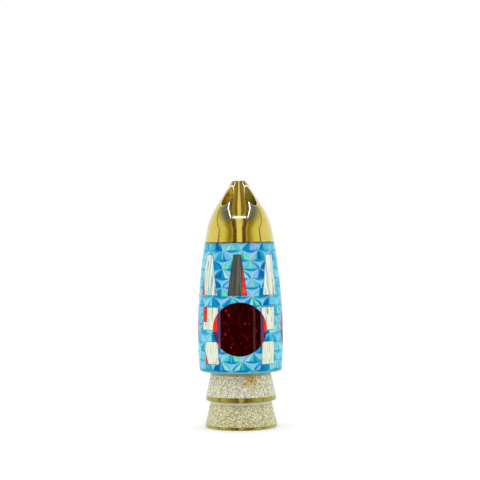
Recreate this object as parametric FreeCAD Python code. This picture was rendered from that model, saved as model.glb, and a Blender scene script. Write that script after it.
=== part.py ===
import FreeCAD, Part
import math
import os

os.makedirs("parts", exist_ok=True)

# Jetted trolling lure head, standing on its tail: a turned brass nose with four water jets, a clear-coated
# body wrapped in prism film with mirror chips and red eyes, and two flared collars that hold the skirts.
# Millimetres. The origin is the centre of the flat tail face and +Z runs up to the nose.
# Azimuths are in degrees about Z: 0 faces -Y, where the front eye is, and 90 faces +X.

# Lengths along the axis, from the tail up
REAR_COLLAR_LENGTH = 8.0
FRONT_COLLAR_LENGTH = 8.7
BODY_LENGTH = 38.0
NOSE_LENGTH = 18.4

# Body: two arcs that meet at the belly, its widest level
BELLY_RADIUS = 12.7
BELLY_HEIGHT = 10.3  # above the body's foot
FOOT_RADIUS = 12.2
SEAM_RADIUS = 10.4  # where the body meets the nose
FOOT_CORNER = 0.5

# Layers of the body, from the outside in
JACKET_WALL = 0.6
EYE_THICKNESS = 0.2
FILM_THICKNESS = 0.2
FLOOR_THICKNESS = 0.25  # of the jacket's floor under the film and the core

# Nose
FLARE_ANGLE = 10.8  # from the axis, next to the seam
SHOULDER_HEIGHT = 7.3  # above the seam, of the corner that the shoulder rounds
SHOULDER_RADIUS = 18.0
TIP_RIM = 0.7  # outside the leader tube, before the corner is rounded
TIP_CORNER = 0.8

# Leader bore, lined by one brass tube from tip to tail
LEADER_BORE_RADIUS = 1.1
LEADER_TUBE_WALL = 0.3
LIP_WIDTH = 0.9  # of the flared lip outside the tube
LIP_THICKNESS = 0.5
LIP_INSET = 0.1  # of the flared lip above the tail face

# Water jets, parallel to the axis
JET_COUNT = 4
JET_RADIUS = 1.8
JET_OFFSET = 4.85
JET_CHAMFER = 0.2
JET_TUBE_WALL = 0.25
JET_TUBE_SEAT = 2.0  # depth of each tube's seat in the nose and in the tail spindle

# Spigots of the nose and the tail spindle, glued in the core
SPIGOT_WALL = 0.7  # outside the seats of the jet tubes
NOSE_SPIGOT_LENGTH = 5.0
TAIL_SPIGOT_LENGTH = 5.0
GLUE_GAP = 0.05

# Skirt collars, pressed on the tail spindle
REAR_COLLAR_WALL = 1.65  # at the neck
FRONT_COLLAR_WALL = 1.45
REAR_FLARE = 1.5  # of the rim beyond the neck
FRONT_FLARE = 1.5
REAR_RIM_HEIGHT = 1.0  # bare metal under the grit
FRONT_RIM_HEIGHT = 1.5
RIM_ROUND = 0.45  # of the rim's lower edge
RIM_FLAT = 0.05  # left upright above that rounding
LAND_HEIGHT = 1.0  # plain ring above the grit
GRIT_THICKNESS = 0.25

# Eyes
EYE_RADIUS = 7.8
EYE_HEIGHT = 12.9  # of the centres above the body's foot
EYES = {"front": -1.0, "rear_right": 112.0, "rear_left": -120.0}  # azimuths

# Mirror chips: azimuth, width at the foot, width at the head, and how far the head leans sideways
WEDGE_HEAD_DROP = 3.4  # below the seam
WEDGES = {
    "front": (-4.0, 5.8, 2.3, 0.0),
    "right": (49.0, 6.0, 3.2, 0.9),
    "rear_right": (112.0, 5.4, 2.0, 0.0),
    "rear": (176.0, 6.0, 3.0, 0.0),
    "rear_left": (-120.0, 5.4, 2.0, 0.0),
    "left": (-52.0, 7.0, 3.2, -0.9),
}
LOWER_BLOCK_FOOT = 2.5  # above the body's foot
BLOCK_LENGTH = 6.8
BLOCK_ROW_GAP = 3.2
WEDGE_ROW_GAP = 3.3
UPPER_BLOCK_WIDTHS = {"right": (5.0, 5.0), "left": (6.4, 6.2), "rear": (5.6, 5.6)}  # at the foot and head
LOWER_BLOCK_WIDTHS = {"right": (4.8, 4.8), "left": (5.4, 5.4), "rear": (5.6, 5.6)}
BLOCK_TUCKS = {"right": 1.2, "left": 1.35}  # of the blocks' inner edges under the rim of the front eye
REAR_BLOCK_AZIMUTH = 176.0
WINDOW_GAP = 0.14  # round each chip in the film

# Red foil flashes in some windows: width at the foot, at the head and height, from one lower or upper corner
WEDGE_FLASH = (1.5, 0.25, 7.8)
SIDE_WEDGE_FLASH = (1.6, 0.3, 4.0)
UPPER_BLOCK_FLASH = (1.9, 1.9, 4.3)
LOWER_BLOCK_FLASH = (1.3, 0.2, 3.2)

# Red foil strip in a window of its own, beside the rear right eye
STRIP_AZIMUTH = 86.0
STRIP_WIDTH = 1.6
STRIP_FOOT = 7.5  # above the body's foot
STRIP_LENGTH = 15.2

# Levels and radii that follow from the sizes above
REAR_COLLAR_TOP = REAR_COLLAR_LENGTH
FOOT = REAR_COLLAR_TOP + FRONT_COLLAR_LENGTH
BELLY = FOOT + BELLY_HEIGHT
SEAM = FOOT + BODY_LENGTH
TIP = SEAM + NOSE_LENGTH
LEADER_TUBE_RADIUS = LEADER_BORE_RADIUS + LEADER_TUBE_WALL
LIP_RADIUS = LEADER_TUBE_RADIUS + LIP_WIDTH
TIP_RADIUS = LEADER_TUBE_RADIUS + TIP_RIM
JET_TUBE_RADIUS = JET_RADIUS + JET_TUBE_WALL
SPIGOT_RADIUS = JET_OFFSET + JET_TUBE_RADIUS + SPIGOT_WALL
RIM_EDGE = RIM_ROUND + RIM_FLAT
REAR_NECK_RADIUS = SPIGOT_RADIUS + REAR_COLLAR_WALL
REAR_RIM_RADIUS = REAR_NECK_RADIUS + REAR_FLARE
FRONT_NECK_RADIUS = SPIGOT_RADIUS + FRONT_COLLAR_WALL
FRONT_RIM_RADIUS = FRONT_NECK_RADIUS + FRONT_FLARE
FILM_DEPTH = JACKET_WALL + FILM_THICKNESS  # of the film's inner face below the body's surface
FLOOR = FOOT + FLOOR_THICKNESS
SPIGOT_TOP = FOOT + TAIL_SPIGOT_LENGTH
SPIGOT_BOTTOM = SEAM - NOSE_SPIGOT_LENGTH
LOWER_BLOCK_LEVEL = FOOT + LOWER_BLOCK_FOOT
UPPER_BLOCK_LEVEL = LOWER_BLOCK_LEVEL + BLOCK_LENGTH + BLOCK_ROW_GAP
WEDGE_LEVEL = UPPER_BLOCK_LEVEL + BLOCK_LENGTH + WEDGE_ROW_GAP
WEDGE_LENGTH = SEAM - WEDGE_HEAD_DROP - WEDGE_LEVEL
AXIS = FreeCAD.Vector(0, 0, 1)
ORIGIN = FreeCAD.Vector(0, 0, 0)
REACH = 2 * BELLY_RADIUS  # past the body's surface from its axis
TOLERANCE = 0.01  # for finding edges and faces by their sizes


def arc_radius(rise, height):
    """Radius of an arc that is upright at one end and has moved in by rise after height."""
    return (height**2 + rise**2) / (2 * rise)


def body_radius(level, depth):
    """Radius of the body's surface at a level, or of the surface depth below it."""
    if level > BELLY:
        bend = arc_radius(BELLY_RADIUS - SEAM_RADIUS, SEAM - BELLY)
    else:
        bend = arc_radius(BELLY_RADIUS - FOOT_RADIUS, BELLY - FOOT)
    return BELLY_RADIUS - bend + math.sqrt((bend - depth) ** 2 - (level - BELLY) ** 2)


def in_section(radius, level):
    return FreeCAD.Vector(radius, 0, level)


def body_arc(low, high, depth):
    ends = [in_section(body_radius(level, depth), level) for level in (low, (low + high) / 2, high)]
    return Part.Arc(*ends).toShape()


def straight(start, end):
    return Part.LineSegment(start, end).toShape()


def revolved(edges):
    face = Part.Face(Part.Wire(Part.__sortEdges__(edges)))
    return face.revolve(ORIGIN, AXIS, 360)


def turned(outline):
    """Solid of revolution from the corners of a closed outline of straight lines."""
    corners = [in_section(radius, level) for radius, level in outline]
    return Part.Face(Part.makePolygon(corners + corners[:1])).revolve(ORIGIN, AXIS, 360)


def body_band(outer_depth, inner_depth, low):
    """Layer of the body between two depths below its surface, from a level up to the seam."""
    edges = []
    for depth in (outer_depth, inner_depth):
        edges.append(body_arc(low, BELLY, depth))
        edges.append(body_arc(BELLY, SEAM, depth))
    for level in (low, SEAM):
        inner = in_section(body_radius(level, inner_depth), level)
        outer = in_section(body_radius(level, outer_depth), level)
        edges.append(straight(inner, outer))
    return revolved(edges)


def body_plug(depth, low):
    """Solid inside the surface that lies depth below the body's, from a level up to the seam."""
    bottom = in_section(0, low)
    top = in_section(0, SEAM)
    edges = [
        body_arc(low, BELLY, depth),
        body_arc(BELLY, SEAM, depth),
        straight(in_section(body_radius(SEAM, depth), SEAM), top),
        straight(top, bottom),
        straight(bottom, in_section(body_radius(low, depth), low)),
    ]
    return revolved(edges)


def rod(radius, low, high, azimuth=0.0, offset=0.0):
    """Upright cylinder between two levels, on the axis or beside it."""
    turn = math.radians(azimuth)
    foot = FreeCAD.Vector(offset * math.sin(turn), -offset * math.cos(turn), low)
    return Part.makeCylinder(radius, high - low, foot, AXIS)


def jet_azimuths():
    pitch = 360 / JET_COUNT
    return [pitch * (n + 0.5) for n in range(JET_COUNT)]


def jet_rods(radius, low, high):
    return [rod(radius, low, high, azimuth, JET_OFFSET) for azimuth in jet_azimuths()]


def circle_edges(shape, level, radius):
    """Round edges of a shape at a level and radius about the axis."""
    found = []
    for edge in shape.Edges:
        box = edge.BoundBox
        flat = abs(box.ZMax - level) < TOLERANCE and abs(box.ZMin - level) < TOLERANCE
        if flat and abs(box.XMax - radius) < TOLERANCE:
            found.append(edge)
    return found


def nose_blank():
    """Nose without its bores: a flared skirt, a soft shoulder, a cone and a small flat tip."""
    corner = SEAM + SHOULDER_HEIGHT
    shoulder = SEAM_RADIUS - SHOULDER_HEIGHT * math.tan(math.radians(FLARE_ANGLE))
    blank = turned(
        [
            (0, SPIGOT_BOTTOM),
            (SPIGOT_RADIUS, SPIGOT_BOTTOM),
            (SPIGOT_RADIUS, SEAM),
            (SEAM_RADIUS, SEAM),
            (shoulder, corner),
            (TIP_RADIUS, TIP),
            (0, TIP),
        ]
    )
    blank = blank.makeFillet(SHOULDER_RADIUS, circle_edges(blank, corner, shoulder))
    return blank.makeFillet(TIP_CORNER, circle_edges(blank, TIP, TIP_RADIUS))


def jet_mouths(nose):
    """Edges where the jets break out of the nose's outer surface."""
    found = []
    for face in nose.Faces:
        bored = isinstance(face.Surface, Part.Cylinder) and abs(face.Surface.Radius - JET_RADIUS) < TOLERANCE
        for edge in face.Edges if bored else []:
            box = edge.BoundBox
            if box.ZMin > SEAM and box.XLength > JET_RADIUS:
                found.append(edge)
    return found


def nose_cone():
    cuts = [rod(LEADER_TUBE_RADIUS, SPIGOT_BOTTOM, TIP)]
    cuts += jet_rods(JET_RADIUS, SPIGOT_BOTTOM, TIP)
    cuts += jet_rods(JET_TUBE_RADIUS, SPIGOT_BOTTOM, SPIGOT_BOTTOM + JET_TUBE_SEAT)
    nose = nose_blank().cut(cuts)
    return nose.makeChamfer(JET_CHAMFER, jet_mouths(nose))


def leader_tube():
    tube = rod(LEADER_TUBE_RADIUS, LIP_INSET, TIP).fuse(rod(LIP_RADIUS, LIP_INSET, LIP_INSET + LIP_THICKNESS))
    return tube.cut(rod(LEADER_BORE_RADIUS, LIP_INSET, TIP)).removeSplitter()


def jet_tubes():
    low = SPIGOT_TOP - JET_TUBE_SEAT
    high = SPIGOT_BOTTOM + JET_TUBE_SEAT
    outsides = jet_rods(JET_TUBE_RADIUS, low, high)
    insides = jet_rods(JET_RADIUS, low, high)
    return {f"jet_tube_{n + 1}": outsides[n].cut(insides[n]) for n in range(JET_COUNT)}


def insert_core():
    cuts = [
        rod(SPIGOT_RADIUS + GLUE_GAP, SPIGOT_BOTTOM, SEAM),
        rod(SPIGOT_RADIUS + GLUE_GAP, FOOT, SPIGOT_TOP),
        rod(LEADER_TUBE_RADIUS, FOOT, SEAM),
    ]
    cuts += jet_rods(JET_TUBE_RADIUS, FOOT, SEAM)
    return body_plug(FILM_DEPTH, FLOOR).cut(cuts)


def tail_spindle():
    cuts = [
        rod(LEADER_TUBE_RADIUS, 0, SPIGOT_TOP),
        rod(LIP_RADIUS, 0, LIP_INSET + LIP_THICKNESS),
    ]
    cuts += jet_rods(JET_RADIUS, 0, SPIGOT_TOP)
    cuts += jet_rods(JET_TUBE_RADIUS, SPIGOT_TOP - JET_TUBE_SEAT, SPIGOT_TOP)
    return rod(SPIGOT_RADIUS, 0, SPIGOT_TOP).cut(cuts)


def cone_radius(level, low, high, rim_radius, neck_radius):
    """Radius of a collar's flare between the top of its rounded rim edge and the foot of its land."""
    share = (level - low - RIM_EDGE) / (high - LAND_HEIGHT - low - RIM_EDGE)
    return rim_radius + (neck_radius - rim_radius) * share


def collar_grit(low, high, rim_radius, neck_radius, rim_height):
    """Band of glitter grit in clear coat that fills the recess round a collar's flare."""
    foot = low + rim_height
    head = high - LAND_HEIGHT
    foot_radius = cone_radius(foot, low, high, rim_radius, neck_radius)
    head_radius = cone_radius(head, low, high, rim_radius, neck_radius)
    return turned(
        [
            (foot_radius - GRIT_THICKNESS, foot),
            (foot_radius, foot),
            (head_radius, head),
            (head_radius - GRIT_THICKNESS, head),
        ]
    )


def skirt_collar(low, high, rim_radius, neck_radius, rim_height):
    """Turned ring: a rounded rim at the foot, a flare with a recess for the grit, and a plain land."""
    blank = turned(
        [
            (SPIGOT_RADIUS, low),
            (rim_radius, low),
            (rim_radius, low + RIM_EDGE),
            (neck_radius, high - LAND_HEIGHT),
            (neck_radius, high),
            (SPIGOT_RADIUS, high),
        ]
    )
    blank = blank.makeFillet(RIM_ROUND, circle_edges(blank, low, rim_radius))
    return blank.cut(collar_grit(low, high, rim_radius, neck_radius, rim_height))


def on_body(azimuth, outline):
    """Prism that reaches out from the axis through the body's surface, with corners (sideways, level)."""
    turn = math.radians(azimuth)
    sideways = FreeCAD.Vector(math.cos(turn), math.sin(turn), 0)
    outward = FreeCAD.Vector(math.sin(turn), -math.cos(turn), 0)
    corners = [sideways * along + AXIS * level for along, level in outline]
    return Part.Face(Part.makePolygon(corners + corners[:1])), outward * REACH


def chip_outline(chip, low, length, gap):
    """Corners of a mirror chip, or of its window when gap is 0."""
    _, foot_width, head_width, lean = chip
    foot = foot_width / 2 - gap
    head = head_width / 2 - gap
    base = low + gap
    top = low + length - gap
    return [(-foot, base), (foot, base), (lean + head, top), (lean - head, top)]


def flash_outline(chip, flash, low, length, side, at_head, gap):
    """Corners of a red flash along one side of a chip's window: side is 1 or -1, at_head at its upper end."""
    _, foot_width, head_width, lean = chip
    foot_flash, head_flash, flash_length = flash
    base = low + length - flash_length if at_head else low
    corners = []
    for level, width in ((base, foot_flash), (base + flash_length, head_flash)):
        share = (level - low) / length
        edge = share * lean + side * (foot_width + (head_width - foot_width) * share) / 2
        corners.append([(edge + side, level), (edge - side * (width + gap), level)])
    return [corners[0][0], corners[0][1], corners[1][1], corners[1][0]]


def grown(outline, gap):
    """The same outline with its lower and upper ends moved out by gap."""
    return [(along, level - gap if n in (0, 1) else level + gap) for n, (along, level) in enumerate(outline)]


def through_body(azimuth, outline):
    face, reach = on_body(azimuth, outline)
    return face.extrude(reach)


def film_layer():
    return body_band(JACKET_WALL, FILM_DEPTH, FLOOR)


def block_row(widths):
    """Blocks of one row: one tucked under each side of the front eye's rim, and one at the rear."""
    blocks = {"rear": (REAR_BLOCK_AZIMUTH, *widths["rear"], 0.0)}
    for side, place in ((1, "right"), (-1, "left")):
        rim = math.asin(EYE_RADIUS / BELLY_RADIUS)
        half_block = math.asin(widths[place][0] / 2 / BELLY_RADIUS)
        turn = math.degrees(rim + half_block - BLOCK_TUCKS[place] / BELLY_RADIUS)
        blocks[place] = (EYES["front"] + side * turn, *widths[place], 0.0)
    return blocks


def chip_rows():
    """Each row of chips: its name, its chips, and its foot and length."""
    return [
        ("mirror_wedge", WEDGES, WEDGE_LEVEL, WEDGE_LENGTH),
        ("mirror_block_upper", block_row(UPPER_BLOCK_WIDTHS), UPPER_BLOCK_LEVEL, BLOCK_LENGTH),
        ("mirror_block_lower", block_row(LOWER_BLOCK_WIDTHS), LOWER_BLOCK_LEVEL, BLOCK_LENGTH),
    ]


def flashes():
    """Red flash of a chip, by the chip's name: its sizes, its side, and whether it lies at the head."""
    return {
        "mirror_wedge_front": (WEDGE_FLASH, 1, False),
        "mirror_wedge_rear_right": (WEDGE_FLASH, 1, False),
        "mirror_wedge_rear_left": (WEDGE_FLASH, 1, False),
        "mirror_wedge_left": (SIDE_WEDGE_FLASH, -1, False),
        "mirror_block_upper_left": (UPPER_BLOCK_FLASH, -1, True),
        "mirror_block_lower_left": (LOWER_BLOCK_FLASH, -1, False),
    }


def chips_and_windows():
    """Mirror chips and red flashes by name, and the windows in the film that they lie in."""
    layer = film_layer()
    pieces = {}
    windows = []
    for row, chips, low, length in chip_rows():
        for place, chip in chips.items():
            name = f"{row}_{place}"
            azimuth = chip[0]
            windows.append(through_body(azimuth, chip_outline(chip, low, length, 0)))
            pane = through_body(azimuth, chip_outline(chip, low, length, WINDOW_GAP)).common(layer)
            if name in flashes():
                flash, side, at_head = flashes()[name]
                corners = flash_outline(chip, flash, low, length, side, at_head, 0)
                roomy = grown(flash_outline(chip, flash, low, length, side, at_head, WINDOW_GAP), WINDOW_GAP)
                pieces[name.replace("mirror", "red_flash")] = pane.common(through_body(azimuth, corners))
                pane = pane.cut(through_body(azimuth, roomy))
            pieces[name] = pane
    strip = (STRIP_AZIMUTH, STRIP_WIDTH, STRIP_WIDTH, 0.0)
    outlines = [chip_outline(strip, FOOT + STRIP_FOOT, STRIP_LENGTH, gap) for gap in (0, WINDOW_GAP)]
    windows.append(through_body(STRIP_AZIMUTH, outlines[0]))
    pieces["red_flash_strip_right"] = through_body(STRIP_AZIMUTH, outlines[1]).common(layer)
    return pieces, windows


def eye_discs():
    layer = body_band(JACKET_WALL - EYE_THICKNESS, JACKET_WALL, FLOOR)
    discs = {}
    for place, azimuth in EYES.items():
        turn = math.radians(azimuth)
        outward = FreeCAD.Vector(math.sin(turn), -math.cos(turn), 0)
        punch = Part.makeCylinder(EYE_RADIUS, REACH, AXIS * (FOOT + EYE_HEIGHT), outward)
        discs[f"eye_disc_{place}"] = layer.common(punch)
    return discs


def resin_jacket(discs):
    """Clear jacket over the film, with a floor under the body and a pocket for each eye."""
    blank = body_plug(0, FOOT)
    blank = blank.makeFillet(FOOT_CORNER, circle_edges(blank, FOOT, FOOT_RADIUS))
    cuts = [body_plug(JACKET_WALL, FLOOR), rod(SPIGOT_RADIUS, FOOT, SEAM)]
    return blank.cut(cuts + list(discs.values()))


def export(pieces):
    for name, shape in pieces.items():
        shape.exportStep(f"parts/{name}.step")


def main():
    rear = (0, REAR_COLLAR_TOP, REAR_RIM_RADIUS, REAR_NECK_RADIUS, REAR_RIM_HEIGHT)
    front = (REAR_COLLAR_TOP, FOOT, FRONT_RIM_RADIUS, FRONT_NECK_RADIUS, FRONT_RIM_HEIGHT)
    chips, windows = chips_and_windows()
    discs = eye_discs()
    pieces = {
        "nose_cone": nose_cone(),
        "leader_tube": leader_tube(),
        "insert_core": insert_core(),
        "prism_film": film_layer().cut(windows),
        "resin_jacket": resin_jacket(discs),
        "tail_spindle": tail_spindle(),
        "rear_skirt_collar": skirt_collar(*rear),
        "rear_collar_grit": collar_grit(*rear),
        "front_skirt_collar": skirt_collar(*front),
        "front_collar_grit": collar_grit(*front),
    }
    pieces.update(jet_tubes())
    pieces.update(chips)
    pieces.update(discs)
    export(pieces)


main()
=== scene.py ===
from functools import partial
import math

import bmesh
import bpy
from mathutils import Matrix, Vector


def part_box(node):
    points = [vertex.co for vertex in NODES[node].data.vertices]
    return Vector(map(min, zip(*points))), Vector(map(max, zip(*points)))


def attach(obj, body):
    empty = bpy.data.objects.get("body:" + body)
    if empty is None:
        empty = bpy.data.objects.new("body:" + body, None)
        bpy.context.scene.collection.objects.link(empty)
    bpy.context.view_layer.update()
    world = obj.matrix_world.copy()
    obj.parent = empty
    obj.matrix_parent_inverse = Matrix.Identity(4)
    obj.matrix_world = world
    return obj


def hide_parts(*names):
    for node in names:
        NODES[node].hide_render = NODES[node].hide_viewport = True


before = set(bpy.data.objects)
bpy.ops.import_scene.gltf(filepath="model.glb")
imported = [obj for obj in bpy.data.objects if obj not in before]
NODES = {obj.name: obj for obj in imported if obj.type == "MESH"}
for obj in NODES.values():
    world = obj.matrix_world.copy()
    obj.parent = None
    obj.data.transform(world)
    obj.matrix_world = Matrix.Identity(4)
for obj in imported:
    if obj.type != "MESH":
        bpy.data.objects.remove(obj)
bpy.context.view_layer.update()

MM = 0.001

# The body's levels and widest radius, and the layers under its clear jacket
FOOT, SEAM = (corner.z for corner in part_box("resin_jacket"))
BELLY_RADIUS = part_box("resin_jacket")[1].x
REAR_COLLAR_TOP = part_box("rear_skirt_collar")[1].z
SEAM_RADIUS = 10.4 * MM
FOOT_RADIUS = 12.2 * MM
BELLY = FOOT + 10.3 * MM
FILM_DEPTH = 0.6 * MM
FLOOR_THICKNESS = 0.25 * MM
JACKET_OVERLAP = 0.05 * MM  # of the jacket's inner wall into the film, so that no air lies between them
FOOT_CORNER = 0.5 * MM
SPINDLE_BORE = 7.6 * MM  # in the jacket's floor
SEAM_GAP = 0.02 * MM  # between the jacket and the nose
LAND_HEIGHT = 1.0 * MM  # of the plain ring above each collar's grit

# Jets in the nose
JET_RADIUS = 1.8 * MM
JET_PLACE = 4.85 / math.sqrt(2) * MM  # each jet's distance from both middle planes
# Width of the painted highlight round each jet's mouth, where the chamfer would mirror the white tent
EDGE_HIGHLIGHT_WIDTH = 0.17 * MM  # round each jet's mouth

# Prism film: rows of scales, each row half a scale round from the next
SCALE_TURN = math.radians(30)
SCALE_START = math.radians(2.5)
SCALE_HEIGHT = 2.675 * MM
SCALE_LEVEL = 52.3 * MM

# Eyes: level of their centres, then distances sideways and levels from an eye's centre
EYE_LEVEL = FOOT + 12.9 * MM
EYE_BAND = 5.8 * MM  # where the purple band begins
EYE_OUTER = 6.75 * MM  # where the film beside the band shows through
EYE_CORNER = 6.1 * MM  # where the lower blocks lie under the rim
# Painted reflection: a pale upright streak in each eye, this far right of its middle
EYE_REFLECTION_STREAK = 4.2 * MM  # of a pale streak right of the middle
RED_LEVELS = (-0.8 * MM, 4.4 * MM)  # between which the outer film shows red
CORNER_LEVEL = -3.9 * MM  # top of the red corners over the lower blocks
EYES = {"front": -1.0, "rear_right": 112.0, "rear_left": -120.0}  # azimuths in degrees

# Amber stain on the front collar's grit
STAIN_PLACE = (3.0 * MM, -9.0 * MM, FOOT - 1.6 * MM)


# ---------------------------------------------------------------- nodes and colours


def srgb(code, strength=1.0):
    """Linear colour of an sRGB hex value, times a strength."""
    channels = [int(code[i : i + 2], 16) / 255 for i in (1, 3, 5)]
    linear = [c / 12.92 if c <= 0.04045 else ((c + 0.055) / 1.055) ** 2.4 for c in channels]
    return [strength * c for c in linear] + [1.0]


def add(tree, kind, *values, stops=(), **more):
    """Adds a shader node. Values go to its inputs in order, and more are its settings, or its inputs by name
    or by number such as _6. A value is a number, a colour, a socket or a node. Stops are a colour ramp's."""
    node = tree.nodes.new("ShaderNode" + kind)
    inputs = dict(enumerate(values))
    for name, value in more.items():
        if hasattr(node, name):
            setattr(node, name, value)
        else:
            inputs[int(name[1:]) if name[1:].isdigit() else name.replace("_", " ")] = value
    for key, value in inputs.items():
        if isinstance(value, bpy.types.Node):
            value = next(output for output in value.outputs if output.enabled)
        if isinstance(value, bpy.types.NodeSocket):
            tree.links.new(value, node.inputs[key])
        elif value is not None:
            node.inputs[key].default_value = value
    for n, (position, colour) in enumerate(stops):
        stop = node.color_ramp.elements[n] if n < 2 else node.color_ramp.elements.new(position)
        stop.position = position
        stop.color = colour
    return node


def new_material(name):
    """Empty material, and a function that adds nodes to it."""
    material = bpy.data.materials.new(name)
    material.use_nodes = True
    material.node_tree.nodes.clear()
    node = partial(add, material.node_tree)
    return material, node


def grey(level):
    return (level, level, level, 1.0)


def place_on_object(node):
    """Object coordinates as one socket, and as three."""
    spot = node("TexCoord").outputs["Object"]
    return spot, *node("SeparateXYZ", spot).outputs


def turn_from_front(node, x, y):
    """Turn about the upright axis from -Y, in radians."""
    return node("Math", x, node("Math", y, -1.0, operation="MULTIPLY"), operation="ARCTAN2")


# ---------------------------------------------------------------- studio: white, with tinted mirror strips


def tent_walls(node, side, height):
    """Tinted strips of cloth all round: a narrow lit one straight ahead, dimmer ones beside it, then lit ones
    with a narrow dark pole each side. Higher up the dim ones are wider and bluer."""
    low = node(
        "ValToRGB",
        side,
        stops=[
            (0.0, srgb("#FAF3BC")),
            (0.036, srgb("#FAF3BC")),
            (0.05, srgb("#695019")),
            (0.1, srgb("#614B19")),
            (0.12, srgb("#CEBC59")),
            (0.15, srgb("#907C27")),
            (0.2, srgb("#ADA03F")),
            (0.27, srgb("#E5E189")),
            (0.4, srgb("#EFECAA")),
            (0.415, srgb("#6F7669")),
            (0.435, srgb("#7C816F")),
            (0.45, srgb("#F3EFBC")),
            (0.62, srgb("#F3F1C8")),
            (0.8, srgb("#ECF2FF", 1.1)),
        ],
    )
    middle = node(
        "ValToRGB",
        side,
        stops=[
            (0.0, srgb("#EDE7BC")),
            (0.04, srgb("#E7E1B3")),
            (0.06, srgb("#6C5930")),
            (0.15, srgb("#61697C")),
            (0.25, srgb("#7381AD")),
            (0.39, srgb("#8B99CB")),
            (0.415, srgb("#61696F")),
            (0.45, srgb("#E7E7CB")),
            (1.0, srgb("#F9F9ED")),
        ],
    )
    rise = node("MapRange", height, 0.42, 0.7, 0.0, 1.0, interpolation_type="SMOOTHSTEP")
    return node("Mix", rise, _6=low, _7=middle, data_type="RGBA")


def ceiling_panel(node, across):
    """Dim panel of the ceiling, with a lit slot along its middle."""
    return node(
        "ValToRGB",
        across,
        stops=[
            (0.0, srgb("#F3EDCB")),
            (0.1, srgb("#EDE5B3")),
            (0.15, srgb("#7C6530")),
            (0.3, srgb("#957C38")),
            (0.42, srgb("#B39B50")),
            (0.52, srgb("#656161")),
            (0.64, srgb("#616161")),
        ],
    )


def make_studio():
    """Even white light for matt surfaces and behind the object. Reflections see a tent of tinted strips
    instead, and a dim ceiling panel with bluish tubes along its sides and front edge. Strips and panel were
    tuned so that the brass shows the bands wanted in the front view."""
    world = bpy.data.worlds.new("studio_tent")
    bpy.context.scene.world = world
    world.use_nodes = True
    world.node_tree.nodes.clear()
    node = partial(add, world.node_tree)
    x, y, z = node("SeparateXYZ", node("TexCoord").outputs["Generated"]).outputs
    ahead = node("Math", y, -1.0, operation="MULTIPLY")
    turn = turn_from_front(node, x, y)
    side = node("Math", node("Math", turn, operation="ABSOLUTE"), math.pi, operation="DIVIDE")
    lean = node("MapRange", z, 0.3, 1.0, 1.0, 2.7)  # the poles lean back as they rise
    walls = tent_walls(node, node("Math", side, lean, operation="DIVIDE"), z)
    height = node("Math", z, 0.02, operation="MAXIMUM")
    across = node("Math", node("Math", x, height, operation="DIVIDE"), operation="ABSOLUTE")
    forward = node("Math", ahead, height, operation="DIVIDE")
    squared = node("Math", across, across, operation="MULTIPLY")
    bulge = node("Math", squared, -0.3, 1.02, operation="MULTIPLY_ADD")
    edge = node("Math", bulge, forward, operation="SUBTRACT")
    inside = node("Math", edge, 0.0, operation="GREATER_THAN")
    beside = node("Math", across, 0.72, operation="LESS_THAN")
    above = node("Math", z, 0.3, operation="GREATER_THAN")
    panel = node("Math", inside, node("Math", beside, above, operation="MULTIPLY"), operation="MULTIPLY")
    side_tube = node("Math", across, 0.69, operation="GREATER_THAN")
    front_tube = node("Math", edge, 0.05, operation="LESS_THAN")
    front_middle = node("Math", across, 0.56, operation="LESS_THAN")
    front_lit = node("Math", front_tube, front_middle, operation="MULTIPLY")
    tube = node("Math", side_tube, front_lit, operation="MAXIMUM")
    ceiling = node("Mix", tube, _6=ceiling_panel(node, across), _7=srgb("#A1AFFF", 14.0), data_type="RGBA")
    mirrored = node("Mix", panel, _6=walls, _7=ceiling, data_type="RGBA")
    rays = node("LightPath").outputs
    mirror = node("Math", rays["Is Glossy Ray"], rays["Is Transmission Ray"], operation="SUBTRACT")
    seen = node("Mix", mirror, _6=grey(1.0), _7=mirrored, data_type="RGBA")
    node("OutputWorld", node("Background", seen, 1.0))


def make_floor():
    """White tent floor, with a faint glow of its own so that it stays white beside the object."""
    material, node = new_material("white_tent_cloth")
    cloth = node("BsdfDiffuse", grey(0.85))
    glow = node("Emission", grey(1.0), 0.28)
    node("OutputMaterial", node("AddShader", cloth, glow))
    mesh = bpy.data.meshes.new("tent_floor")
    shape = bmesh.new()
    bmesh.ops.create_grid(shape, x_segments=1, y_segments=1, size=3.0)
    shape.to_mesh(mesh)
    shape.free()
    mesh.materials.append(material)
    floor = bpy.data.objects.new("tent_floor", mesh)
    floor.location.z = -0.02 * MM
    floor.visible_glossy = False
    floor.visible_transmission = False
    bpy.context.scene.collection.objects.link(floor)


def make_camera():
    """Camera level with the seam of the nose, as far off as a short telephoto would be."""
    camera = bpy.data.cameras.new("camera")
    camera.sensor_width = 36
    camera.lens = 105
    camera.clip_start = 0.01
    eye = bpy.data.objects.new("camera", camera)
    eye.location = (0.15 * MM, -417 * MM, 55.5 * MM)
    eye.rotation_euler = (math.radians(90), math.radians(0.59), 0)
    bpy.context.scene.collection.objects.link(eye)
    bpy.context.scene.camera = eye


# ---------------------------------------------------------------- materials


def polished_brass(name, dark, light, roughness):
    """Brass turned and polished on a lathe: a greenish-gold mirror with faint rings, clouded by handling."""
    material, node = new_material(name)
    spot, _, _, z = place_on_object(node)
    rings = node("TexNoise", W=z, Scale=1 / (0.15 * MM), Detail=1.0, noise_dimensions="1D")
    clouds = node("TexNoise", Vector=spot, Scale=1 / (2.2 * MM), Detail=5.0, Roughness=0.6)
    rough = node("MapRange", clouds, 0.35, 0.7, 0.6 * roughness, 1.7 * roughness)
    tint = node("Mix", clouds, _6=srgb(dark), _7=srgb(light), data_type="RGBA")
    bump = node("Bump", Strength=0.08, Distance=0.004 * MM, Height=rings)
    shader = node("BsdfPrincipled", Base_Color=tint, Metallic=1.0, Roughness=rough, Normal=bump)
    node("OutputMaterial", shader)
    return material


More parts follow.
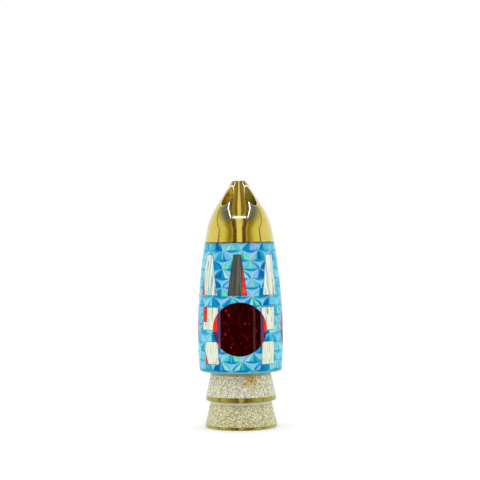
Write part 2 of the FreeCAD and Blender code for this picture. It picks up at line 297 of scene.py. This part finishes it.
def collar_brass(name, land_top, lacquer):
    """Turned brass of a skirt collar: bare and dull gold on its rim, lacquered on the land above the grit."""
    material, node = new_material(name)
    spot, _, _, z = place_on_object(node)
    clouds = node("TexNoise", Vector=spot, Scale=1 / (1.5 * MM), Detail=5.0)
    tint = node("Mix", clouds, _6=srgb("#8E8248"), _7=srgb("#CFC48A"), data_type="RGBA")
    rough = node("MapRange", clouds, 0.35, 0.7, 0.14, 0.3)
    bare = node("BsdfPrincipled", Base_Color=tint, Metallic=1.0, Roughness=rough)
    streaks = node("TexNoise", W=z, Scale=1 / (0.2 * MM), Detail=2.0, noise_dimensions="1D")
    coat = node("Mix", streaks, _6=srgb(lacquer, 0.8), _7=srgb(lacquer, 1.15), data_type="RGBA")
    coated = node("BsdfPrincipled", Base_Color=coat, Metallic=0.3, Roughness=0.35)
    on_land = node("MapRange", z, land_top - LAND_HEIGHT, land_top - 0.7 * LAND_HEIGHT)
    node("OutputMaterial", node("MixShader", on_land, bare, coated))
    return material


def nose_brass():
    """Polished brass of the nose: a bright mirror outside, unpolished metal inside the jets, darker there as
    painted shade, golden on the left and olive on the right as painted light, pale painted highlights round
    the jets' mouths, and a darker line of grime at the seam."""
    material, node = new_material("polished_nose_brass")
    spot, x, y, z = place_on_object(node)
    clouds = node("TexNoise", Vector=spot, Scale=1 / (1.0 * MM), Detail=6.0, Roughness=0.7)
    tint = node("Mix", clouds, _6=srgb("#CEB85C"), _7=srgb("#F4E498"), data_type="RGBA")
    rough = node("MapRange", clouds, 0.35, 0.7, 0.05, 0.16)
    rings = node("TexNoise", W=z, Scale=1 / (0.15 * MM), Detail=1.0, noise_dimensions="1D")
    bump = node("Bump", Strength=0.08, Distance=0.004 * MM, Height=rings)
    away = []
    for socket in (x, y):
        size = node("Math", socket, operation="ABSOLUTE")
        away.append(node("Math", size, JET_PLACE, operation="SUBTRACT"))
    offset = node("VectorMath", node("CombineXYZ", *away), operation="LENGTH").outputs["Value"]
    bore = node("Math", offset, JET_RADIUS + 0.01 * MM, operation="LESS_THAN")
    # Pale band round the upper jets' mouths: painted highlight
    edge = node("Math", offset, JET_RADIUS + EDGE_HIGHLIGHT_WIDTH, operation="LESS_THAN")
    raised = node("Math", z, SEAM + 3 * MM, operation="GREATER_THAN")
    edge = node("Math", edge, raised, operation="MULTIPLY")
    stain = node("TexNoise", Vector=spot, Scale=1 / (1.1 * MM), Detail=4.0)
    # Inside the jets: unpolished metal, its darker brown partly painted shade in the bores
    raw_and_shaded_bore = node(
        "ValToRGB",
        stain,
        stops=[(0.3, srgb("#7C660C")), (0.5, srgb("#BC9408")), (0.7, srgb("#E4B830"))],
    )
    # Painted light and shade by side: golden in the left jets, olive in the right ones
    side_shade = node("MapRange", x, -1 * MM, 1 * MM, 0.0, 0.75)
    raw_and_shaded_bore = node("Mix", side_shade, _6=raw_and_shaded_bore, _7=srgb("#6C7020"), data_type="RGBA")
    ragged = node("Math", clouds, 0.5 * MM, z, operation="MULTIPLY_ADD")
    seam = node("MapRange", ragged, SEAM + 0.38 * MM, SEAM + 0.6 * MM)
    tint = node("Mix", seam, _6=srgb("#7A5A1C"), _7=tint, data_type="RGBA")
    polished = node("BsdfPrincipled", Base_Color=tint, Metallic=1.0, Roughness=rough, Normal=bump)
    edge_highlight = node("BsdfPrincipled", Base_Color=srgb("#FFF6DC"), Metallic=0.15, Roughness=0.35)
    inside = node("BsdfPrincipled", Base_Color=raw_and_shaded_bore, Metallic=0.55, Roughness=0.4)
    outer = node("MixShader", edge, polished, edge_highlight)
    node("OutputMaterial", node("MixShader", bore, outer, inside))
    return material


def prism_film():
    """Embossed prism film: rows of staggered fish scales whose facets each throw back their own blue, deeper
    or paler round the body as painted light and shade, with painted mint and lavender glints, and bright
    creases between the scales that are painted highlights."""
    material, node = new_material("embossed_prism_film")
    spot, x, y, z = place_on_object(node)
    wrap = node("TexNoise", Vector=spot, Scale=1 / (5 * MM), Detail=2.0)
    z = node("Math", z, 0.25 * MM, operation="SUBTRACT")
    z = node("Math", wrap, 0.5 * MM, z, operation="MULTIPLY_ADD")
    turn = node("Math", turn_from_front(node, x, y), 0.035, operation="SUBTRACT")
    turn = node("Math", wrap, 0.07, turn, operation="MULTIPLY_ADD")
    row = node("Math", node("Math", z, SCALE_LEVEL, operation="SUBTRACT"), SCALE_HEIGHT, operation="DIVIDE")
    row_number = node("Math", row, operation="FLOOR")
    shift = node("Math", node("Math", row_number, 1.0, operation="PINGPONG"), 0.5, operation="MULTIPLY")
    column = node("Math", turn, SCALE_START, operation="SUBTRACT")
    column = node("Math", column, SCALE_TURN, operation="DIVIDE")
    column = node("Math", column, shift, operation="ADD")
    column_number = node("Math", column, operation="FLOOR")

    # Place in the scale: sideways from -1 to 1, and up and down from 0 to 1
    sideways = node("Math", column, column_number, operation="SUBTRACT")
    sideways = node("Math", sideways, 2.0, -1.0, operation="MULTIPLY_ADD")
    up = node("Math", row, row_number, operation="SUBTRACT")
    down = node("Math", 1.0, up, operation="SUBTRACT")
    width = node("Math", sideways, operation="ABSOLUTE")
    arch = node("Math", 1.0, node("Math", up, up, operation="MULTIPLY"), operation="SUBTRACT")
    arch = node("Math", arch, 0.5, operation="POWER")
    inward = node("Math", arch, width, operation="SUBTRACT")

    # Blades of each scale's fan, and the chance values that pick their colours
    fan = node("Math", sideways, node("Math", down, 0.02, operation="ADD"), operation="ARCTAN2")
    blade = node("Math", node("Math", fan, 9 / math.pi, operation="MULTIPLY"), operation="FLOOR")
    half = node("Math", node("Math", column, 2.0, operation="MULTIPLY"), operation="FLOOR")
    cell = node("TexWhiteNoise", node("CombineXYZ", column_number, row_number, blade), noise_dimensions="3D")
    facet = node("TexWhiteNoise", node("CombineXYZ", half, row_number, 7.0), noise_dimensions="3D")

    # Zone round the body, 0 at the front and back and 0.5 at the sides, sets how deep the blue is: painted
    # shade in deep bands beside the middle, and pale painted reflection on the sides
    zone = node("Math", node("Math", turn, operation="ABSOLUTE"), math.pi, operation="DIVIDE")
    zone = node("Math", zone, 0.5, operation="PINGPONG")
    depth = node(
        "ValToRGB",
        zone,
        stops=[
            (0.0, grey(0.6)),
            (0.155, grey(0.5)),
            (0.16, grey(0.08)),
            (0.24, grey(0.1)),
            (0.245, grey(0.66)),
            (0.5, grey(0.78)),
        ],
    )
    wander = node("Math", cell.outputs["Value"], 0.5, -0.25, operation="MULTIPLY_ADD")
    sway = node("Math", facet.outputs["Value"], 0.4, -0.2, operation="MULTIPLY_ADD")
    tone = node("Math", depth, node("Math", wander, sway, operation="ADD"), operation="ADD")
    blues = node(
        "ValToRGB",
        tone,
        stops=[
            (0.0, srgb("#0074BC")),
            (0.2, srgb("#008CCE")),
            (0.4, srgb("#12A8DC")),
            (0.6, srgb("#44C4EA")),
            (0.8, srgb("#70D8F4")),
            (1.0, srgb("#98F6FC")),
        ],
    )
    glints = node(
        "ValToRGB",
        cell.outputs["Value"],
        stops=[
            (0.0, srgb("#0090D0")),
            (0.14, srgb("#00B0D0")),
            (0.26, srgb("#84FFB4")),
            (0.46, srgb("#50DAF4")),
            (0.6, srgb("#A4B8FF")),
            (0.74, srgb("#C0FAFF")),
            (0.86, srgb("#60FACC")),
            (0.95, srgb("#B0C4FF")),
        ],
    )
    glints.color_ramp.interpolation = "CONSTANT"
    # Painted glints: mint, lavender and pale facets, only near the front and back
    playful = node("MapRange", zone, 0.14, 0.17, 0.75, 0.0)
    lucky = node("Math", facet.outputs["Value"], 0.12, operation="GREATER_THAN")
    lively = node("Math", playful, lucky, operation="MULTIPLY")
    face = node("Mix", lively, _6=blues, _7=glints, data_type="RGBA")
    steep = node("Math", node("Math", fan, operation="ABSOLUTE"), 0.86, operation="GREATER_THAN")
    flank = node("Mix", cell.outputs["Value"], _6=srgb("#40C0EE"), _7=srgb("#B4D0FF"), data_type="RGBA")
    # Steep blades paler, fully near the front and less towards the sides: painted light by zone
    soft = node("MapRange", zone, 0.15, 0.17, 1.0, 0.35)
    face = node("Mix", node("Math", steep, soft, operation="MULTIPLY"), _6=face, _7=flank, data_type="RGBA")
    foot = node("Math", width, 0.1, 0.86, operation="MULTIPLY_ADD")
    under = node("Math", node("Math", down, foot, operation="GREATER_THAN"), 0.7, operation="MULTIPLY")
    face = node("Mix", under, _6=face, _7=srgb("#0C90DC"), data_type="RGBA")

    # Hollows between the scales' arches, then the creases and spines as painted highlights
    hollow = node(
        "ValToRGB",
        down,
        stops=[
            (0.0, srgb("#007EC6")),
            (0.12, srgb("#0490D2")),
            (0.2, srgb("#58CCF0")),
            (0.4, srgb("#ACD0FF")),
            (0.6, srgb("#58D0F0")),
            (0.9, srgb("#24AEE0")),
        ],
    )
    # Hollows paler towards the sides: painted reflection by zone
    calm = node("MapRange", zone, 0.15, 0.26, 0.0, 0.6)
    hollow = node("Mix", calm, _6=hollow, _7=srgb("#68D8F2"), data_type="RGBA")
    outside = node("Math", inward, 0.0, operation="LESS_THAN")
    face = node("Mix", outside, _6=face, _7=hollow, data_type="RGBA")
    gap = node("Math", inward, operation="ABSOLUTE")
    # Mint along the spines of glinting scales: painted glint
    spine = node("MapRange", width, 0.02, 0.07, 0.6, 0.0)
    spine = node("Math", spine, lively, operation="MULTIPLY")
    face = node("Mix", spine, _6=face, _7=srgb("#84F8B0"), data_type="RGBA")
    # Bright creases between the scales: painted highlights, over a real bump
    crease = node("MapRange", gap, 0.02, 0.08, 0.85, 0.0)
    face = node("Mix", crease, _6=face, _7=srgb("#9CFCFF"), data_type="RGBA")
    bump = node("Bump", Strength=0.4, Distance=0.05 * MM, Height=gap)
    shader = node("BsdfPrincipled", Base_Color=face, Roughness=0.3, Specular_IOR_Level=0.0, Normal=bump)
    node("OutputMaterial", shader)
    return material


# Colours across the streaks of the chips' foil
PALE_FOIL = [
    (0.3, srgb("#F4FAE4")),
    (0.38, srgb("#6E6A50")),
    (0.4, srgb("#FFFFF2")),
    (0.5, srgb("#F1F6E0")),
    (0.6, srgb("#EDF4DC")),
    (0.62, srgb("#5AA8B8")),
    (0.645, srgb("#B8E4F0")),
    (0.68, srgb("#FFFFFA")),
]
STREAKED_FOIL = [
    (0.36, srgb("#FFFFFC")),
    (0.4, srgb("#4E6A5C")),
    (0.42, srgb("#FFFFF8")),
    (0.5, srgb("#EEF4DC")),
    (0.54, srgb("#2C94A6")),
    (0.56, srgb("#A8E2F2")),
    (0.62, srgb("#FFFFFC")),
]
SMOKED_FOIL = [
    (0.3, srgb("#2C2C2A")),
    (0.5, srgb("#42423C")),
    (0.6, srgb("#6A6C60")),
    (0.75, srgb("#3A3A34")),
]


def mirror_foil(name, stops, fineness):
    """Hand-cut mirror foil, painted with streaks along its length for knife marks and for what it mirrors."""
    material, node = new_material(name)
    _, x, y, z = place_on_object(node)
    turn = turn_from_front(node, x, y)
    along = node("Math", z, 0.05 / MM, operation="MULTIPLY")
    slant = node("Math", turn, 12.0, operation="MULTIPLY")
    slant = node("Math", node("Math", turn, operation="SIGN"), along, slant, operation="MULTIPLY_ADD")
    streaks = node("TexNoise", node("CombineXYZ", slant, along), Scale=fineness, Detail=3.0, Roughness=0.6)
    tint = node("ValToRGB", streaks, stops=stops)
    bump = node("Bump", Strength=0.2, Distance=0.03 * MM, Height=streaks)
    shader = node("BsdfPrincipled", Base_Color=tint, Metallic=0.3, Roughness=0.15, Normal=bump)
    node("OutputMaterial", shader)
    return material


def red_foil():
    """Red reflective foil, clouded from deep red to orange as painted light and shade, as if it bent to the
    light and away from it.
    """
    material, node = new_material("red_flash_foil")
    clouds = node("TexNoise", Vector=node("TexCoord").outputs["Object"], Scale=1 / (1.2 * MM), Detail=2.0)
    # Painted light and shade: deep red to orange by cloudy noise
    tint = node(
        "ValToRGB",
        clouds,
        stops=[(0.35, srgb("#C81400")), (0.55, srgb("#F43000")), (0.75, srgb("#FF6A20"))],
    )
    node("OutputMaterial", node("BsdfPrincipled", Base_Color=tint, Metallic=0.2, Roughness=0.25))
    return material


def eye_film(place, azimuth):
    """Dark red holographic film: almost black in the middle, with bright red flecks, faint scratches and a
    pale streak that is a painted reflection. It is opaque here, and its sides are painted purple and red for
    what shows through."""
    material, node = new_material(f"red_eye_film_{place}")
    turn = math.radians(azimuth)
    spot, x, y, z = place_on_object(node)
    sideways = node("Math", x, math.cos(turn), operation="MULTIPLY")
    sideways = node("Math", y, math.sin(turn), sideways, operation="MULTIPLY_ADD")
    wide = node("Math", node("Math", sideways, 0.25 * MM, operation="SUBTRACT"), operation="ABSOLUTE")
    tilt = node("Mapping", spot, Rotation=(0, math.radians(40), 0), Scale=(1.0, 1.0, 0.4))
    flecks = node("TexVoronoi", Vector=tilt, Scale=1 / (1.3 * MM), Randomness=1.0)
    glow = node("TexNoise", Vector=spot, Scale=1 / (1.0 * MM), Detail=3.0)
    bright = node("Math", flecks.outputs["Distance"], 0.16, operation="LESS_THAN")
    scratches = node("TexVoronoi", Vector=tilt, Scale=1 / (3.0 * MM), feature="DISTANCE_TO_EDGE")
    scratch = node("Math", scratches, 0.012, operation="LESS_THAN")
    bright = node("Math", bright, node("Math", glow, 0.55, operation="GREATER_THAN"), operation="MULTIPLY")
    faint = node("Math", scratch, node("Math", glow, 0.56, operation="GREATER_THAN"), operation="MULTIPLY")
    dark = node(
        "ValToRGB",
        glow,
        stops=[(0.35, srgb("#1E0002")), (0.6, srgb("#360004")), (0.75, srgb("#52020C"))],
    )
    middle = node("Mix", faint, _6=dark, _7=srgb("#8C0C16"), data_type="RGBA")
    middle = node("Mix", bright, _6=middle, _7=srgb("#F0201A"), data_type="RGBA")
    band = node("Math", wide, EYE_BAND, operation="GREATER_THAN")
    # Pale upright streak right of the middle: painted reflection
    streak = node("Math", node("Math", sideways, EYE_REFLECTION_STREAK, operation="SUBTRACT"), operation="ABSOLUTE")
    streak = node("MapRange", streak, 0.15 * MM, 0.45 * MM, 0.35, 0.0)
    middle = node("Mix", streak, _6=middle, _7=srgb("#7C4A40"), data_type="RGBA")
    face = node("Mix", band, _6=middle, _7=srgb("#704468"), data_type="RGBA")
    level = node("Math", z, EYE_LEVEL, operation="SUBTRACT")
    above = node("Math", level, RED_LEVELS[0], operation="GREATER_THAN")
    below = node("Math", level, RED_LEVELS[1], operation="LESS_THAN")
    outer = node("Math", wide, EYE_OUTER, operation="GREATER_THAN")
    face = node("Mix", outer, _6=face, _7=srgb("#443C7C"), data_type="RGBA")
    lit = node("Math", outer, node("Math", above, below, operation="MULTIPLY"), operation="MULTIPLY")
    side = node("Math", wide, EYE_CORNER, operation="GREATER_THAN")
    beneath = node("Math", level, CORNER_LEVEL, operation="LESS_THAN")
    corner = node("Math", side, beneath, operation="MULTIPLY")
    lit = node("Math", lit, corner, operation="MAXIMUM")
    face = node("Mix", lit, _6=face, _7=srgb("#FF3C2C"), data_type="RGBA")
    node("OutputMaterial", node("BsdfPrincipled", Base_Color=face, Roughness=0.25, Specular_IOR_Level=0.0))
    return material


def clear_resin():
    """Clear cast resin, polished: light passes to the film under it. Its rounded foot is painted, blue for
    the film and then olive for the brass below. Its mirroring is kept faint by a low index and a dim tint,
    tuned so that the film's colours stay deep, and both are below those of real resin."""
    material, node = new_material("clear_cast_resin")
    glass = node(
        "BsdfPrincipled",
        Base_Color=srgb("#FDFEFA"),
        Roughness=0.01,
        IOR=1.2,
        Specular_Tint=grey(0.35),
        Transmission_Weight=1.0,
    )
    open_way = node("BsdfTransparent", grey(0.98))
    _, _, _, z = place_on_object(node)
    rise = node("Math", z, FOOT, operation="SUBTRACT")
    tinge = node(
        "ValToRGB",
        node("Math", rise, FOOT_CORNER, operation="DIVIDE"),
        stops=[(0.1, srgb("#7E7A50")), (0.3, srgb("#4AA4C0")), (0.9, srgb("#66C0DE"))],
    )
    foot = node("BsdfPrincipled", Base_Color=tinge, Roughness=0.2)
    body = node("MixShader", node("Math", rise, 0.48 * MM, operation="LESS_THAN"), glass, foot)
    node("OutputMaterial", node("MixShader", node("LightPath").outputs["Is Shadow Ray"], body, open_way))
    return material


def glitter_grit(name, dark, middle, light):
    """Silver-gold glitter grit under clear lacquer: every grain has its own brightness, and an amber stain
    has run into the front collar's."""
    material, node = new_material(name)
    spot = node("TexCoord").outputs["Object"]
    grains = node("TexVoronoi", Vector=spot, Scale=1 / (0.24 * MM))
    pick = node("SeparateColor", grains.outputs["Color"]).outputs[0]
    shade = node("ValToRGB", pick, stops=[(0.0, srgb(dark)), (0.45, srgb(middle)), (1.0, srgb(light))])
    stain = node("VectorMath", spot, STAIN_PLACE, operation="DISTANCE").outputs["Value"]
    spread = node("TexNoise", Vector=spot, Scale=1 / (1.2 * MM), Detail=3.0)
    stain = node("Math", spread, -6.0 * MM, stain, operation="MULTIPLY_ADD")
    amber = node("MapRange", stain, -2.4 * MM, 0.4 * MM, 0.9, 0.0)
    shade = node("Mix", amber, _6=shade, _7=srgb("#F0C468"), data_type="RGBA", blend_type="MULTIPLY")
    bump = node("Bump", Strength=0.35, Distance=0.08 * MM, Height=grains.outputs["Distance"])
    shader = node("BsdfPrincipled", Base_Color=shade, Metallic=0.2, Roughness=0.4, Normal=bump)
    node("OutputMaterial", shader)
    return material


def cast_core():
    """Dark cast resin of the core, which shows as a hairline round each chip."""
    material, node = new_material("dark_cast_resin")
    clouds = node("TexNoise", Vector=node("TexCoord").outputs["Object"], Scale=1 / (3 * MM), Detail=3.0)
    tint = node("Mix", clouds, _6=srgb("#1E1A16"), _7=srgb("#3A342C"), data_type="RGBA")
    node("OutputMaterial", node("BsdfPrincipled", Base_Color=tint, Roughness=0.4))
    return material


# ---------------------------------------------------------------- pieces


def named(*starts):
    return [name for name in NODES if name.startswith(starts)]


def paint(material, names):
    for name in names:
        for slot in NODES[name].material_slots:
            slot.material = material


def body_outline(depth, low, high, steps=40):
    """Points (radius, level) down the body's two arcs, depth below its surface."""
    points = []
    for n in range(steps + 1):
        level = high + (low - high) * n / steps
        rise, height = BELLY_RADIUS - FOOT_RADIUS, BELLY - FOOT
        if level > BELLY:
            rise, height = BELLY_RADIUS - SEAM_RADIUS, SEAM - BELLY
        bend = (height**2 + rise**2) / (2 * rise)
        points.append((BELLY_RADIUS - bend + math.sqrt((bend - depth) ** 2 - (level - BELLY) ** 2), level))
    return points


def spun(name, outline, material, steps=180):
    """Closed ring of revolution from a closed outline of (radius, level) points."""
    shape = bmesh.new()
    corners = [shape.verts.new((radius, 0, level)) for radius, level in outline]
    for n, corner in enumerate(corners):
        shape.edges.new((corner, corners[n - 1]))
    bmesh.ops.spin(
        shape,
        geom=list(shape.verts) + list(shape.edges),
        cent=(0, 0, 0),
        axis=(0, 0, 1),
        angle=math.tau,
        steps=steps,
        use_merge=True,
    )
    bmesh.ops.remove_doubles(shape, verts=shape.verts, dist=0.0001 * MM)
    bmesh.ops.recalc_face_normals(shape, faces=shape.faces)
    for face in shape.faces:
        face.smooth = True
    for edge in shape.edges:
        edge.smooth = edge.calc_face_angle(0) < math.radians(30)
    mesh = bpy.data.meshes.new(name)
    shape.to_mesh(mesh)
    shape.free()
    mesh.materials.append(material)
    made = bpy.data.objects.new(name, mesh)
    bpy.context.scene.collection.objects.link(made)
    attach(made, "root")
    return made


def clear_jacket(material):
    """Clear jacket: a skin over the film with a floor under the body, its inner wall just inside the film."""
    outer = body_outline(0, FOOT + FOOT_CORNER, SEAM - SEAM_GAP)
    foot = []
    for degrees in range(15, 91, 15):
        turn = math.radians(degrees)
        radius = outer[-1][0] - FOOT_CORNER * (1 - math.cos(turn))
        foot.append((radius, FOOT + FOOT_CORNER * (1 - math.sin(turn))))
    floor = FOOT + FLOOR_THICKNESS + JACKET_OVERLAP
    hole = [(SPINDLE_BORE, FOOT), (SPINDLE_BORE, floor)]
    inner = body_outline(FILM_DEPTH + JACKET_OVERLAP, floor, SEAM - SEAM_GAP)[::-1]
    jacket = spun("clear_jacket", outer + foot + hole + inner, material)
    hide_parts("resin_jacket")


def main():
    make_studio()
    make_floor()
    make_camera()
    paint(nose_brass(), ["nose_cone"])
    paint(collar_brass("turned_front_collar_brass", FOOT, "#96A28C"), ["front_skirt_collar"])
    paint(collar_brass("turned_rear_collar_brass", REAR_COLLAR_TOP, "#D6DAD0"), ["rear_skirt_collar"])
    paint(polished_brass("drawn_brass_tube", "#B89C48", "#D8C070", 0.2), named("leader", "jet_tube"))
    paint(polished_brass("turned_spindle_brass", "#B89C48", "#D8C070", 0.2), ["tail_spindle"])
    paint(prism_film(), ["prism_film"])
    paint(mirror_foil("cut_mirror_foil", PALE_FOIL, 1.5), named("mirror_block"))
    paint(mirror_foil("streaked_mirror_foil", STREAKED_FOIL, 0.55), named("mirror_wedge"))
    paint(mirror_foil("smoked_mirror_foil", SMOKED_FOIL, 1.5), ["mirror_wedge_front"])
    paint(red_foil(), named("red_flash"))
    for place, azimuth in EYES.items():
        paint(eye_film(place, azimuth), [f"eye_disc_{place}"])
    paint(glitter_grit("silver_gold_grit", "#8E8C6C", "#CCCAAC", "#FFFFF6"), ["front_collar_grit"])
    paint(glitter_grit("dull_gold_grit", "#87824C", "#C2BC88", "#FCFAE6"), ["rear_collar_grit"])
    paint(cast_core(), ["insert_core"])
    clear_jacket(clear_resin())
    bpy.context.scene.view_settings.view_transform = "Standard"


main()
